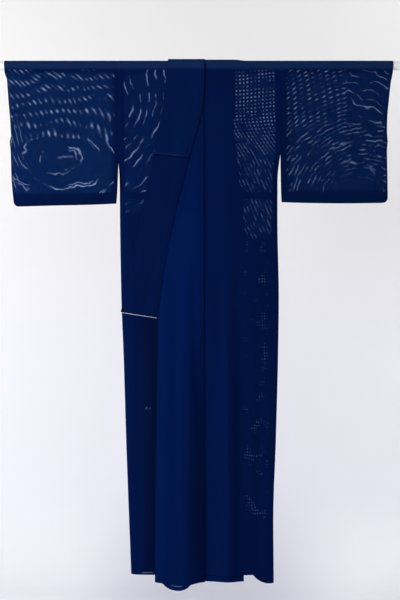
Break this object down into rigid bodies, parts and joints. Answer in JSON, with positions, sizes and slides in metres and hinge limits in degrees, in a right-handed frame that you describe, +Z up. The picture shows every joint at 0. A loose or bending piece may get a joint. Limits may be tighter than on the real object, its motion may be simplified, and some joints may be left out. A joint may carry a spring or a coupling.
{
  "type": "summer kimono on a hanging rod",
  "caption": "Sheer unlined summer kimono hung by its sleeves on a plain round rod, left front on top, wide collar opened flat.",
  "frame": {"origin": "on the rod's axis, midway between its ends; the rod is what holds the garment up", "axes": "+X along the rod to the wearer's left, the garment's front faces -Y, +Z up"},
  "size_m": [1.4, 0.0906, 1.645],
  "materials": {
    "navy_gauze": "sheer plain gauze, soft sheen",
    "white_lining": "smooth white silk",
    "white_rod": "satin white"
  },
  "bodies": {
    "root": {"body_left": "navy_gauze", "body_right": "navy_gauze", "sleeve_left": "navy_gauze", "sleeve_right": "navy_gauze", "okumi_left": "navy_gauze", "okumi_right": "navy_gauze", "collar_left": "navy_gauze", "collar_right": "navy_gauze", "collar_back": "navy_gauze", "over_collar_left": "navy_gauze", "over_collar_right": "navy_gauze", "seat_lining": "navy_gauze", "collar_lining": "white_lining", "rod": "white_rod"}
  },
  "joints": []
}
